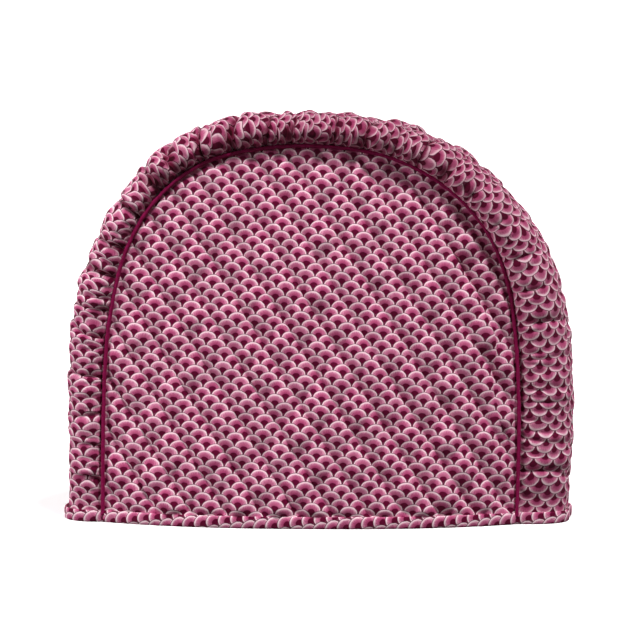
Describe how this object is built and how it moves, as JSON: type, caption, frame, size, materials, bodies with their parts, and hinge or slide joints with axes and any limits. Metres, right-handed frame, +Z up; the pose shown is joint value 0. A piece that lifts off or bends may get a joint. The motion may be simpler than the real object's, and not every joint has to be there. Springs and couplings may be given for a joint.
{
  "type": "tea cosy",
  "caption": "Quilted tea cosy: D-shaped padded cotton panels joined by a gathered gusset, with piped seams and a bias-bound hem, standing open over a teapot.",
  "frame": {"origin": "middle of the hem, on the surface that the cosy stands on", "axes": "+X along the cosy's width, to the right seen from the front; the front panel faces -Y; +Z up"},
  "size_m": [0.3399, 0.1026, 0.2711],
  "materials": {
    "print_cotton": "printed cotton, quilted, matt",
    "gathered_cotton": "printed cotton, gathered, matt",
    "piping_cotton": "plain dark cotton over cord",
    "binding_cotton": "printed cotton cut on the bias"
  },
  "bodies": {
    "root": {"front_panel": "print_cotton", "back_panel": "print_cotton", "gusset": "gathered_cotton", "front_piping": "piping_cotton", "back_piping": "piping_cotton", "hem_binding": "binding_cotton"}
  },
  "joints": []
}
